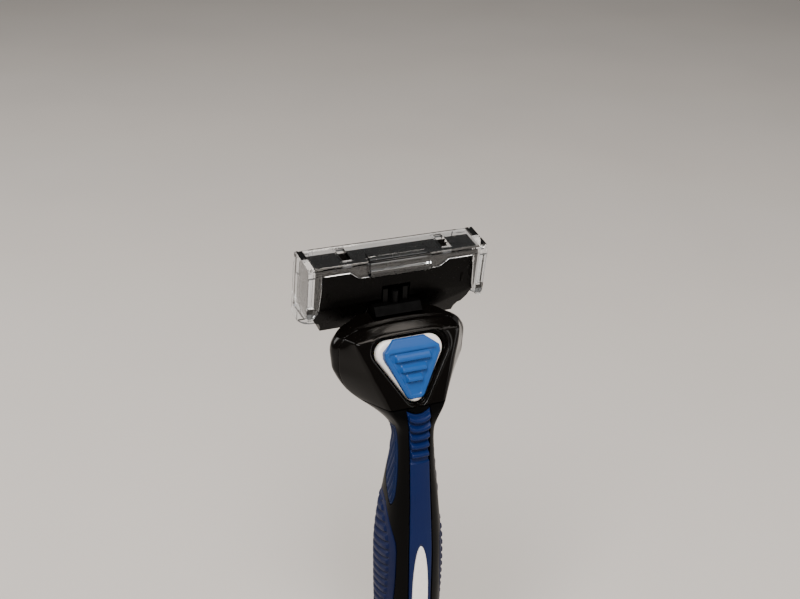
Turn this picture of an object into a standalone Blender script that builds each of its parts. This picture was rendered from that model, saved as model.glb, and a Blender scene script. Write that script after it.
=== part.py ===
"""Wet-shaving cartridge razor with a clear travel cover, modelled as separate pieces.

Frame: origin in the middle of the neck, where a hanging fork takes the razor. +Z runs up the handle
to the head, +X along the cartridge, and -Y is the side with the release button. Lengths below are in
millimetres and become metres where a mesh is made.
"""
from math import cos, pi, radians, sin, tan

import bmesh
import bpy
from mathutils import Matrix, Vector

MM = 0.001
GAP = 0.3                       # clearance between neighbouring pieces

# Handle and head: height, then half width, front and back of each section
HANDLE_BOTTOM = -103.0
HANDLE_SECTIONS = [
    (-103.0, 2.6, -2.4, 3.2), (-101.0, 4.6, -4.2, 5.2), (-96.0, 5.9, -5.8, 6.6),
    (-86.0, 6.6, -7.2, 7.2), (-70.0, 7.1, -8.0, 7.2), (-52.0, 7.5, -8.3, 7.5),
    (-42.0, 7.7, -8.0, 8.0), (-31.0, 7.6, -7.5, 8.5), (-18.5, 6.5, -6.3, 7.4),
    (-11.0, 5.6, -5.4, 6.3), (-5.0, 5.0, -4.7, 5.0), (0.0, 4.9, -4.1, 4.6),
    (5.5, 6.0, -3.5, 6.0), (9.0, 7.0, -2.5, 8.0),
]
SQUARENESS = 2.6                # superellipse exponent of the handle's sections
# Head: height, half width of the flat front, widest half width and its Y, back half width and its Y
HEAD_SECTIONS = [
    (0.0, 3.0, 5.0, 1.0, 3.0, 4.6), (5.5, 6.2, 9.6, 4.6, 5.0, 8.8), (9.0, 7.6, 13.8, 8.2, 8.0, 12.0),
    (13.6, 9.5, 16.6, 9.5, 9.5, 15.0), (16.0, 10.4, 17.0, 9.8, 10.0, 15.8),
    (19.8, 12.0, 17.1, 10.0, 10.0, 16.2), (22.5, 12.9, 15.4, 10.0, 10.0, 15.6),
    (24.2, 12.6, 13.5, 10.2, 9.5, 14.9), (25.5, 11.4, 12.0, 10.5, 9.0, 14.2),
]
HEAD_TOP = 25.5
BLEND_LOW, BLEND_HIGH = 0.0, 8.0        # where the neck's section turns into the head's
BAND_START = 23.0                       # the head's front leans back more steeply above this
BAND_END_Y = 9.3
RING_POINTS = 32
NECK_SEAM = 7.3                         # height of the seam between handle and head shells
HEAD_SPLIT_Y = 8.0                      # depth of the seam between head shell and back cover

# Release button: its plate lies in a plane that leans back from the tip
BUTTON_ORIGIN = (0.0, -1.0, 8.4)
BUTTON_LEAN = 23.0
BUTTON_TRAVEL = 1.5
FACE_RISE = 1.0                         # head front stands this far in front of the plate's plane
BUTTON_OUTLINE = [(-11.0, 14.9), (0.0, -2.4), (11.0, 14.9)]
BUTTON_RADII = [3.2, 2.4, 3.2]
RECESS_OUTLINE = [(-12.3, 15.7), (0.0, -3.9), (12.3, 15.7)]
RECESS_RADII = [3.2, 3.0, 3.2]
RECESS_DEPTH = 0.5
PLATE_BACK = 1.3

# Inlays
INLAY_DEPTH = 1.3
STRIP_HALF = [(6.9, 2.9), (-4.0, 2.5), (-16.0, 2.65), (-30.0, 3.0), (-58.0, 2.9), (-76.0, 1.6)]
NECK_RIBS = [(5.3, 2.6), (3.0, 2.5), (0.6, 2.4), (-1.7, 2.3), (-4.0, 2.25)]      # height and half length
BADGE_CENTRE, BADGE_HALF_LENGTH, BADGE_HALF_WIDTH = -43.5, 14.6, 2.1
REAR_GRIP_TOP, REAR_GRIP_BOTTOM = -17.0, -92.0
REAR_RIB_PITCH = 2.15
REAR_RIB_RISE = 0.45

# Cartridge: its pivot, and local axes X, n (out of the blade face) and v (towards the cap)
PIVOT = (0.0, 14.8, 30.2)
CARTRIDGE_TILT = 8.0
HOUSING_HALF = 20.3
HOUSING_BACK, HOUSING_FACE = -2.3, 5.2
HOUSING_GUARD, HOUSING_CAP = -9.9, 9.0
PIN_RADIUS = 0.8
ARM_INNER, ARM_OUTER, ARM_RADIUS = 1.9, 3.1, 1.7
BLADE_COUNT = 5
BLADE_HALF = 17.0
BLADE_PITCH = 1.75
BLADE_FIRST = 2.15
COVER_WALL = 0.8
COVER_HALF = 22.3
COVER_BACK, COVER_ROOF = -3.3, 6.7
COVER_GUARD, COVER_CAP = -11.0, 10.1


def clear_scene():
    for obj in list(bpy.data.objects):
        bpy.data.objects.remove(obj, do_unlink=True)


def collection(name):
    made = bpy.data.collections.new(name)
    bpy.context.scene.collection.children.link(made)
    return made


clear_scene()
PARTS = collection("cartridge_razor")
CUTTERS = collection("cutters")


def material(name, colour, roughness, metallic=0.0, alpha=1.0):
    made = bpy.data.materials.new(name)
    made.use_nodes = True
    shader = made.node_tree.nodes["Principled BSDF"]
    shader.inputs["Base Color"].default_value = (*colour, 1.0)
    shader.inputs["Roughness"].default_value = roughness
    shader.inputs["Metallic"].default_value = metallic
    shader.inputs["Alpha"].default_value = alpha
    return made


BLACK_GLOSS = material("black_gloss_plastic", (0.010, 0.009, 0.008), 0.15)
BLACK_SATIN = material("black_satin_plastic", (0.012, 0.012, 0.013), 0.40)
BLUE_RUBBER = material("blue_elastomer", (0.020, 0.080, 0.300), 0.45)
BLUE_PAD = material("blue_button_pad", (0.030, 0.180, 0.520), 0.40)
WHITE_PLASTIC = material("white_plastic", (0.800, 0.760, 0.740), 0.30)
CLEAR = material("clear_plastic", (0.900, 0.920, 0.930), 0.05, alpha=0.3)
STEEL = material("blade_steel", (0.600, 0.610, 0.620), 0.20, metallic=1.0)
GREEN_STRIP = material("green_lubricating_strip", (0.380, 0.620, 0.420), 0.60)
BLUE_STRIP = material("blue_gel_strip", (0.250, 0.450, 0.750), 0.50)


def empty(name, location, tilt):
    frame = bpy.data.objects.new(name, None)
    frame.location = Vector(location) * MM
    frame.rotation_euler = (radians(tilt), 0.0, 0.0)
    PARTS.objects.link(frame)
    return frame


BUTTON_FRAME = empty("button_frame", BUTTON_ORIGIN, -BUTTON_LEAN)
CARTRIDGE_FRAME = empty("cartridge_frame", PIVOT, CARTRIDGE_TILT)
bpy.context.view_layer.update()


def place(name, mesh, finish, frame):
    """Put a mesh in the scene: a part where it has a finish, or else a cutter."""
    obj = bpy.data.objects.new(name, mesh)
    if finish is None:
        CUTTERS.objects.link(obj)
        obj.hide_render = True
        obj.display_type = "WIRE"
    else:
        PARTS.objects.link(obj)
        obj.data.materials.append(finish)
    if frame is not None:
        obj.parent = frame
    return obj


def mesh_from(name, builder):
    mesh = bpy.data.meshes.new(name)
    build = bmesh.new()
    builder(build)
    bmesh.ops.recalc_face_normals(build, faces=build.faces)
    build.to_mesh(mesh)
    build.free()
    return mesh


def box(name, low, high, finish=None, frame=None):
    """A box between two corners, in millimetres of its frame."""
    size = [(b - a) * MM for a, b in zip(low, high)]
    middle = [(a + b) * 0.5 * MM for a, b in zip(low, high)]

    def builder(build):
        matrix = Matrix.Translation(middle) @ Matrix.Diagonal((*size, 1.0))
        bmesh.ops.create_cube(build, size=1.0, matrix=matrix)

    return place(name, mesh_from(name, builder), finish, frame)


def cylinder(name, radius, start, end, finish=None, frame=None, sides=24):
    """A closed cylinder between two points, in millimetres of its frame."""
    begin, finish_point = Vector(start) * MM, Vector(end) * MM
    along = finish_point - begin
    turn = along.to_track_quat("Z", "Y").to_matrix().to_4x4()

    def builder(build):
        bmesh.ops.create_cone(build, cap_ends=True, segments=sides, radius1=radius * MM, radius2=radius * MM,
                              depth=along.length,
                              matrix=Matrix.Translation((begin + finish_point) / 2) @ turn)

    return place(name, mesh_from(name, builder), finish, frame)


def curve_to_mesh(curve_object, name, finish, frame):
    """Turn a curve object into a welded mesh object and remove the curve."""
    bpy.context.view_layer.update()
    graph = bpy.context.evaluated_depsgraph_get()
    mesh = bpy.data.meshes.new_from_object(curve_object.evaluated_get(graph))
    build = bmesh.new()
    build.from_mesh(mesh)
    bmesh.ops.transform(build, matrix=curve_object.matrix_world, verts=build.verts)
    bmesh.ops.remove_doubles(build, verts=build.verts, dist=1e-6)
    bmesh.ops.recalc_face_normals(build, faces=build.faces)
    build.to_mesh(mesh)
    build.free()
    mesh.materials.clear()
    bpy.data.objects.remove(curve_object, do_unlink=True)
    return place(name, mesh, finish, frame)


def prism(name, outline, low, high, along, finish=None, frame=None):
    """A flat outline of (across, up) points pushed along X or Y between two depths."""
    curve = bpy.data.curves.new(name + "_outline", "CURVE")
    curve.dimensions = "2D"
    curve.fill_mode = "BOTH"
    curve.extrude = (high - low) * 0.5 * MM
    spline = curve.splines.new("POLY")
    spline.points.add(len(outline) - 1)
    for point, (across, up) in zip(spline.points, outline):
        point.co = (across * MM, up * MM, 0.0, 1.0)
    spline.use_cyclic_u = True
    holder = bpy.data.objects.new(name + "_outline", curve)
    CUTTERS.objects.link(holder)
    middle = (low + high) * 0.5 * MM
    if along == "Y":
        holder.matrix_world = Matrix.Translation((0, middle, 0)) @ Matrix.Rotation(pi / 2, 4, "X")
    else:
        stand = Matrix.Rotation(pi / 2, 4, "Z") @ Matrix.Rotation(pi / 2, 4, "X")
        holder.matrix_world = Matrix.Translation((middle, 0, 0)) @ stand
    return curve_to_mesh(holder, name, finish, frame)


def rounded(corners, radii, steps=5):
    """A polygon with each corner replaced by an arc of its own radius."""
    points = []
    count = len(corners)
    for index, corner in enumerate(corners):
        here = Vector(corner)
        before = (Vector(corners[index - 1]) - here).normalized()
        after = (Vector(corners[(index + 1) % count]) - here).normalized()
        half_angle = before.angle(after) / 2
        reach = radii[index] / tan(half_angle)
        centre = here + (before + after).normalized() * (radii[index] / sin(half_angle))
        first = here + before * reach - centre
        sweep = first.angle_signed(here + after * reach - centre)
        for step in range(steps + 1):
            turned = first.copy()
            turned.rotate(Matrix.Rotation(-sweep * step / steps, 2))
            points.append(tuple(centre + turned))
    return points


def smooth_at(table, height):
    """Read a table of (height, values...) at one height, easing between its rows."""
    rows = sorted(table)
    if height <= rows[0][0]:
        return rows[0][1:]
    for index in range(len(rows) - 1):
        low, high = rows[index], rows[index + 1]
        if height <= high[0]:
            before = rows[max(index - 1, 0)]
            after = rows[min(index + 2, len(rows) - 1)]
            return tuple(hermite(before, low, high, after, height, k) for k in range(1, len(low)))
    return rows[-1][1:]


def hermite(before, low, high, after, height, k):
    """Cubic through two rows of a table, with slopes taken from their neighbours."""
    span = high[0] - low[0]
    slope_low = (high[k] - before[k]) / (high[0] - before[0])
    slope_high = (after[k] - low[k]) / (after[0] - low[0])
    t = (height - low[0]) / span
    return ((2 * t**3 - 3 * t**2 + 1) * low[k] + (t**3 - 2 * t**2 + t) * span * slope_low
            + (3 * t**2 - 2 * t**3) * high[k] + (t**3 - t**2) * span * slope_high)


def signed_power(value, power):
    return abs(value) ** power * (1 if value >= 0 else -1)


def handle_half_ring(height, offset):
    """Half a superellipse from the front's middle to the back's middle, as (x, y)."""
    half, front, back = smooth_at(HANDLE_SECTIONS, height)
    middle, depth = (front + back) / 2, (back - front) / 2 + offset
    points = []
    for step in range(RING_POINTS // 2 + 1):
        angle = 2 * pi * step / RING_POINTS
        x = (half + offset) * abs(sin(angle)) ** (2 / SQUARENESS)
        points.append((x, middle - depth * signed_power(cos(angle), 2 / SQUARENESS)))
    return points


def head_front(height):
    """Y of the head's front: a leaning face, and above it a band that leans back further."""
    lean = radians(BUTTON_LEAN)
    face_y = BUTTON_ORIGIN[1] - FACE_RISE / cos(lean)
    leaning = face_y + (min(height, BAND_START) - BUTTON_ORIGIN[2]) * tan(lean)
    if height <= BAND_START:
        return leaning
    share = (height - BAND_START) / (HEAD_TOP - BAND_START)
    return leaning + (BAND_END_Y - leaning) * share


def head_half_ring(height, offset):
    """Half of the head's section: flat front, side facet to the wing, rounded back."""
    front_half, wing, wing_y, back_half, back = smooth_at(HEAD_SECTIONS, height)
    front = head_front(height) - offset
    points = [(front_half * step / 5, front) for step in range(5)]
    for step in range(4):
        share = step / 4
        points.append((front_half + (wing + offset - front_half) * share, front + (wing_y - front) * share))
    for step in range(5):
        angle = pi / 2 * step / 4
        points.append((back_half + (wing + offset - back_half) * cos(angle),
                       wing_y + (back + offset - wing_y) * sin(angle)))
    points += [(back_half * (1 - step / 3), back + offset) for step in range(1, 4)]
    return points


def body_ring(height, offset):
    """The whole razor body's section at one height, blended from handle to head."""
    share = min(max((height - BLEND_LOW) / (BLEND_HIGH - BLEND_LOW), 0.0), 1.0)
    share = share * share * (3 - 2 * share)
    handle = handle_half_ring(height, offset)
    head = head_half_ring(height, offset)
    half = [(a[0] + (b[0] - a[0]) * share, a[1] + (b[1] - a[1]) * share) for a, b in zip(handle, head)]
    half[0], half[-1] = (0.0, half[0][1]), (0.0, half[-1][1])
    ring = half + [(-x, y) for x, y in reversed(half[1:-1])]
    return [(x, y, height) for x, y in ring]


def loft(name, rings, finish=None, frame=None):
    """A closed skin through rings of equal point counts, capped at both ends."""
    def builder(build):
        levels = [[build.verts.new(Vector(point) * MM) for point in ring] for ring in rings]
        for low, high in zip(levels, levels[1:]):
            for index in range(len(low)):
                following = (index + 1) % len(low)
                build.faces.new((low[index], low[following], high[following], high[index]))
        build.faces.new(reversed(levels[0]))
        build.faces.new(levels[-1])

    return place(name, mesh_from(name, builder), finish, frame)


def levels_between(low, high, pitch):
    count = max(1, round((high - low) / pitch))
    return [low + (high - low) * index / count for index in range(count + 1)]


def boolean(obj, other, operation):
    modifier = obj.modifiers.new(operation.lower(), "BOOLEAN")
    modifier.operation = operation
    modifier.solver = "EXACT"
    modifier.object = other
    return obj


def cut(obj, *others):
    for other in others:
        boolean(obj, other, "DIFFERENCE")
    return obj


def keep(obj, other):
    return boolean(obj, other, "INTERSECT")


def add(obj, *others):
    for other in others:
        boolean(obj, other, "UNION")
    return obj


def strip_outline(margin):
    """Front strip seen from the front, from its arched top to its pointed end."""
    right = [(half + margin, height) for height, half in STRIP_HALF]
    top = [(-right[0][0] * 0.5, right[0][1] + 0.5 + margin), (right[0][0] * 0.5, right[0][1] + 0.5 + margin)]
    left = [(-x, z) for x, z in reversed(right)]
    bottom = [(0.6, STRIP_HALF[-1][0] - 3.0 - margin), (-0.6, STRIP_HALF[-1][0] - 3.0 - margin)]
    return top + right + bottom + left


def ellipse(centre, half_width, half_length, margin, points=28):
    angles = [2 * pi * (k + 0.5) / points for k in range(points)]
    return [((half_width + margin) * sin(a), centre + (half_length + margin) * cos(a)) for a in angles]


def leaf_outline(margin):
    """Side inlay seen from the side, as (y, z)."""
    front = [(-1.2, 2.5), (-2.0, -4.0), (-2.5, -8.0), (-3.0, -13.0), (-3.1, -15.6)]
    rear = [(-0.2, -16.2), (1.9, -13.0), (3.0, -8.0), (3.1, -2.0), (2.3, 2.5)]
    centre = Vector((0.0, -7.0))
    grown = [Vector(p) + (Vector(p) - centre).normalized() * margin for p in front + [(-2.3, -18.5)] + rear]
    return [tuple(p) for p in grown]


def rear_outline(margin):
    """Rear grip seen from the side, as (y, z): its front edge waves along the flank."""
    edge = [(3.6, REAR_GRIP_TOP), (0.2, -18.6), (-3.3, -24.1), (-5.2, -28.4), (-5.8, -35.6), (-5.7, -44.0),
            (-5.0, -56.0), (-3.4, -70.0), (-1.5, -82.0), (3.0, REAR_GRIP_BOTTOM)]
    front = [(y - margin, z) for y, z in edge]
    front[0] = (front[0][0], front[0][1] + margin)
    front[-1] = (front[-1][0], front[-1][1] - margin)
    return front + [(14.0, front[-1][1]), (14.0, front[0][1])]


def body_solid(name, low, high, offset=0.0, pitch=3.0, finish=None):
    return loft(name, [body_ring(height, offset) for height in levels_between(low, high, pitch)], finish)


def pocket(name, prism_object):
    """The space an inlay needs: its outline, down to a skin deeper than the inlay."""
    core = body_solid(name + "_floor", HANDLE_BOTTOM + 2.0, NECK_SEAM + 3.0, -(INLAY_DEPTH + GAP))
    return cut(prism_object, core)


def make_handle():
    core = body_solid("handle_core", HANDLE_BOTTOM, NECK_SEAM, finish=BLACK_SATIN)
    cut(core, pocket("strip_pocket", prism("strip_pocket", strip_outline(GAP), -12, 0, "Y")))
    cut(core, pocket("left_pocket", prism("left_pocket", leaf_outline(GAP), -12, -3.6, "X")))
    cut(core, pocket("right_pocket", prism("right_pocket", leaf_outline(GAP), 3.6, 12, "X")))
    rear = prism("rear_pocket", rear_outline(GAP), -12, 12, "X")
    cut(rear, box("front_wall", (-4.4, -12, -95), (4.4, 0, -10)))
    cut(core, pocket("rear_pocket", rear))
    hole = [(x * 1.05, z * 1.02 - 0.25) for x, z in rounded(BUTTON_OUTLINE, BUTTON_RADII)]
    cut(core, prism("button_travel_room", hole, 0.0, 4.5, "Y", frame=BUTTON_FRAME))
    return core


def inlay(name, prism_object, low, high, offset=0.0, pitch=3.0, finish=BLUE_RUBBER):
    """The slice of the body's own skin that lies inside an outline."""
    skin = body_solid(name, low, high, offset, pitch, finish)
    keep(skin, prism_object)
    return cut(skin, body_solid(name + "_inner", low - 3.0, high + 3.0, -INLAY_DEPTH))


def make_front_strip():
    strip = inlay("front_grip_strip", prism("strip_shape", strip_outline(0.0), -12, 0, "Y"), -82.0, 10.0)
    oval = ellipse(BADGE_CENTRE, BADGE_HALF_WIDTH, BADGE_HALF_LENGTH, GAP)
    cut(strip, prism("badge_window", oval, -12, 0, "Y"))
    for index, (height, half) in enumerate(NECK_RIBS):
        front = min(y for _, y, _ in body_ring(height, 0.0)) + 0.25
        rib = cylinder(f"neck_rib_{index + 1}", 0.65, (-half, front, height), (half, front, height), sides=10)
        add(strip, rib)
    return strip


def make_badge():
    shape = prism("badge_shape", ellipse(BADGE_CENTRE, BADGE_HALF_WIDTH, BADGE_HALF_LENGTH, 0.0), -12, 0, "Y")
    return inlay("oval_badge", shape, -60.0, -27.0, offset=0.1, finish=WHITE_PLASTIC)


def make_side_grips():
    for name, low, high in (("side_grip_left", -12, -3.9), ("side_grip_right", 3.9, 12)):
        inlay(name, prism(name + "_shape", leaf_outline(0.0), low, high, "X"), -21.0, 5.0)


def make_rear_grip():
    """Ribbed rubber back: the section swells at every rib."""
    rings = []
    height = REAR_GRIP_BOTTOM - 1.0
    while height < REAR_GRIP_TOP + 1.0:
        for share, rise in ((0.0, 0.0), (0.3, REAR_RIB_RISE), (0.7, REAR_RIB_RISE)):
            rings.append(body_ring(height + share * REAR_RIB_PITCH, rise))
        height += REAR_RIB_PITCH
    grip = loft("rear_grip", rings, BLUE_RUBBER)
    keep(grip, prism("rear_shape", rear_outline(0.0), -12, 12, "X"))
    cut(grip, box("rear_grip_front_limit", (-4.7, -12, -95), (4.7, 0, -10)))
    return cut(grip, body_solid("rear_grip_inner", REAR_GRIP_BOTTOM - 4.0, REAR_GRIP_TOP + 4.0, -INLAY_DEPTH))


def make_head():
    """Front shell with the button's recess, and the cover that closes the head from behind."""
    hole = rounded([(x * 1.04, z * 1.02 - 0.25) for x, z in BUTTON_OUTLINE], BUTTON_RADII)
    rooms = [(x * 1.1, z * 1.04 - 0.5) for x, z in BUTTON_OUTLINE]
    shell = body_solid("head_shell", NECK_SEAM + GAP, HEAD_TOP, pitch=1.5, finish=BLACK_GLOSS)
    keep(shell, box("shell_side", (-25, -10, 0), (25, HEAD_SPLIT_Y, 40)))
    cut(shell,
        prism("recess", rounded(RECESS_OUTLINE, RECESS_RADII), -6.0, RECESS_DEPTH, "Y", frame=BUTTON_FRAME),
        prism("button_hole", hole, 0.0, 2.5, "Y", frame=BUTTON_FRAME),
        prism("button_room", rounded(rooms, BUTTON_RADII), 1.9, 14.0, "Y", frame=BUTTON_FRAME))
    back = body_solid("head_back_cover", NECK_SEAM + GAP, HEAD_TOP, pitch=1.5, finish=BLACK_GLOSS)
    keep(back, box("back_side", (-25, HEAD_SPLIT_Y + GAP, 0), (25, 30, 40)))
    cut(back,
        body_solid("head_room", 9.6, 23.8, -1.3, pitch=1.5),
        box("nose_opening", (-6.1, 9.2, 22.5), (6.1, 20, 30)))
    return shell, back


def make_button():
    plate = prism("release_button", rounded(BUTTON_OUTLINE, BUTTON_RADII), 0.0, PLATE_BACK, "Y",
                  WHITE_PLASTIC, BUTTON_FRAME)
    for side in (-1, 1):
        low, high = sorted((side * 4.4, side * 5.6))
        add(plate, box(f"button_leg_{side}", (low, 1.0, 7.0), (high, 4.2, 9.4), frame=BUTTON_FRAME))
    add(plate, cylinder("spring_peg", 0.9, (0, 1.0, 8.0), (0, 2.6, 8.0), frame=BUTTON_FRAME, sides=16))
    # Thumb pad: a wedge whose ribbed front rises to a ridge below the plate's top edge
    side_profile = [(-GAP, 0.3), (-0.5, 0.3), (-2.3, 12.2), (-2.2, 12.7), (-0.5, 14.7), (-GAP, 14.7)]
    pad = prism("button_pad", side_profile, -9.5, 9.5, "X", BLUE_PAD, BUTTON_FRAME)
    face = [(-4.0, 14.9), (-6.9, 12.3), (-7.0, 10.8), (-1.5, 0.7), (0.0, 0.2), (1.5, 0.7), (7.0, 10.8),
            (6.9, 12.3), (4.0, 14.9)]
    keep(pad, prism("pad_face", face, -5.0, 1.0, "Y", frame=BUTTON_FRAME))
    for height, half in ((11.0, 4.3), (8.3, 3.2), (5.8, 2.0)):
        depth = -0.5 - 1.8 * (height - 0.3) / 11.9
        add(pad, cylinder(f"pad_rib_{half}", 0.65, (-half, depth, height), (half, depth, height),
                          frame=BUTTON_FRAME, sides=10))
    return plate, pad


def coil(name, radius, wire, start, end, turns, finish, frame=None):
    """A helical spring between two points, as a bevelled curve with closed ends."""
    steps = 10
    begin, along = Vector(start), Vector(end) - Vector(start)
    turn = along.to_track_quat("Z", "Y")
    curve = bpy.data.curves.new(name + "_wire", "CURVE")
    curve.dimensions = "3D"
    curve.bevel_depth = wire * MM
    curve.bevel_resolution = 1
    curve.use_fill_caps = True
    spline = curve.splines.new("POLY")
    spline.points.add(turns * steps)
    for index, point in enumerate(spline.points):
        angle = 2 * pi * index / steps
        local = Vector((radius * cos(angle), radius * sin(angle), along.length * index / (turns * steps)))
        point.co = (*((begin + turn @ local) * MM), 1.0)
    holder = bpy.data.objects.new(name + "_wire", curve)
    CUTTERS.objects.link(holder)
    return curve_to_mesh(holder, name, finish, frame)


def make_head_mechanism():
    """Docking nose, return plunger, ejector fork and the two springs inside the head."""
    dock = box("docking_nose", (-3.9, 11.45, 13.6), (3.9, 13.3, 23.0), BLACK_SATIN)
    nose = box("nose_tip", (-3.9, 11.5, 22.9), (3.9, 14.5, 26.8))
    block = box("spring_block", (-3.4, 9.0, 11.4), (3.4, 11.8, 13.9))
    add(dock, nose, block)
    cut(dock, cylinder("plunger_bore", 1.1, (0, 13.0, 20.0), (0, 13.0, 30.0), sides=16),
        box("spring_bore", (-2.0, 11.0, 14.5), (2.0, 15.0, 23.6)))
    plunger = cylinder("return_plunger", 0.85, (0, 13.0, 20.4), (0, 13.0, 30.45), BLACK_SATIN, sides=16)
    add(plunger, cylinder("plunger_collar", 1.25, (0, 13.0, 19.8), (0, 13.0, 20.6), sides=16),
        cylinder("plunger_stem", 0.5, (0, 13.0, 16.6), (0, 13.0, 20.2), sides=12))
    coil("plunger_spring", 0.95, 0.18, (0, 13.0, 14.9), (0, 13.0, 19.4), 6, STEEL)
    coil("button_spring", 1.5, 0.22, (0, PLATE_BACK + 0.45, 8.0), (0, 6.4, 8.0), 4, STEEL, BUTTON_FRAME)
    fork = box("ejector_fork", (-5.7, 9.0, 14.4), (5.7, 11.1, 16.0), BLACK_SATIN)
    for side in (-1, 1):
        low, high = sorted((side * 4.4, side * 5.7))
        add(fork, box(f"ejector_prong_{side}", (low, 9.6, 14.8), (high, 13.6, 23.2)))
    return dock, plunger, fork


def make_connector():
    """Yoke that plugs onto the nose and carries the cartridge on two stub pins."""
    side = [(9.9, HEAD_TOP + GAP), (11.4, 27.6), (15.7, 27.6), (15.7, HEAD_TOP + GAP)]
    yoke = prism("connector_yoke", side, -5.9, 5.9, "X", BLACK_SATIN)
    x, y, z = PIVOT
    for number, (low, high) in enumerate(((-ARM_OUTER, -ARM_INNER), (ARM_INNER, ARM_OUTER))):
        arm = box(f"arm_{number}", (low, 12.7, 27.3), (high, y + ARM_RADIUS, z + 1.0))
        eye = cylinder(f"arm_eye_{number}", ARM_RADIUS, (low, y, z), (high, y, z))
        bore = cylinder(f"arm_bore_{number}", PIN_RADIUS + GAP, (low - 1, y, z), (high + 1, y, z), sides=16)
        add(yoke, arm, eye)
        cut(yoke, bore)
    cut(yoke, box("nose_socket", (-4.2, 11.2, 24), (4.2, 14.8, 27.1)),
        cylinder("plunger_window", 1.2, (0, 13.0, 24), (0, 13.0, 29.5), sides=16))
    return yoke


def housing_profile():
    """Cartridge housing seen from its end, as (n, v)."""
    return [(HOUSING_BACK + 0.5, HOUSING_CAP), (HOUSING_BACK, HOUSING_CAP - 0.5), (HOUSING_BACK, -1.2),
            (1.2, HOUSING_GUARD), (HOUSING_FACE - 0.4, HOUSING_GUARD), (HOUSING_FACE, HOUSING_GUARD + 0.8),
            (HOUSING_FACE, HOUSING_CAP - 1.5), (HOUSING_FACE - 1.2, HOUSING_CAP)]


def housing_outline():
    """Cartridge seen square on, as (x, v): rounded lower corners with a step above the guard."""
    half = [(HOUSING_HALF + 0.5, HOUSING_CAP + 1), (HOUSING_HALF + 0.5, -2.0), (20.2, -2.8), (19.8, -4.8),
            (18.8, -6.8), (17.9, -7.2), (17.3, -8.4), (17.0, HOUSING_GUARD - 1)]
    return half + [(-x, v) for x, v in reversed(half)]


def make_cartridge():
    frame = CARTRIDGE_FRAME
    profile = housing_profile()
    housing = prism("cartridge_housing", profile, -HOUSING_HALF, HOUSING_HALF, "X", BLACK_GLOSS, frame)
    keep(housing, prism("housing_outline", housing_outline(), -5.0, 7.0, "Y", frame=frame))
    blade_low = BLADE_FIRST - BLADE_PITCH * BLADE_COUNT + 0.6
    bay_half = BLADE_HALF + 0.6
    cut(housing,
        box("arm_slot", (-3.5, -4, -14), (3.5, 2.1, 2.4), frame=frame),
        box("yoke_slot", (-6.3, -4, -14), (6.3, 2.1, -1.2), frame=frame),
        box("blade_bay", (-bay_half, 3.0, blade_low), (bay_half, 6, BLADE_FIRST + 1.4), frame=frame),
        box("gel_pocket", (-18.0, 4.0, 3.95), (18.0, 6, 7.15), frame=frame),
        box("lube_pocket", (-16.8, 4.0, -9.75), (16.8, 6, -6.85), frame=frame))
    for side in (-1, 1):
        low, high = sorted((side * 18.9, side * 20.9))
        cut(housing, box(f"end_cap_seat_{side}", (low, 3.9, -4.0), (high, 6, 3.7), frame=frame))
    lug = box("cam_lug", (-1.3, HOUSING_BACK, 1.0), (1.3, -0.9, 3.0), frame=frame)
    add(housing, lug)
    for side, name in ((-1, "pivot_pin_left"), (1, "pivot_pin_right")):
        cylinder(name, PIN_RADIUS, (side * 2.0, 0, 0), (side * 5.4, 0, 0), STEEL, frame, sides=16)
        cut(housing, cylinder(name + "_seat", PIN_RADIUS + 0.15, (side * 3.0, 0, 0), (side * 5.7, 0, 0),
                              frame=frame, sides=16))
    box("gel_strip", (-17.7, 4.3, 4.25), (17.7, 5.5, 6.85), BLUE_STRIP, frame)
    box("lubricating_strip", (-16.5, 4.3, -9.45), (16.5, 5.5, -7.15), GREEN_STRIP, frame)
    for number in range(BLADE_COUNT):
        edge = BLADE_FIRST - BLADE_PITCH * number
        blade = [(3.35, edge + 0.75), (5.1, edge - 0.25), (5.25, edge), (3.35, edge + 1.05)]
        prism(f"blade_{number + 1}", blade, -BLADE_HALF, BLADE_HALF, "X", STEEL, frame)
    for side, name in ((-1, "end_cap_left"), (1, "end_cap_right")):
        low, high = sorted((side * 19.2, side * 20.3))
        box(name, (low, 4.2, -3.7), (high, 5.4, 3.4), BLACK_SATIN, frame)
    return housing


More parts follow.
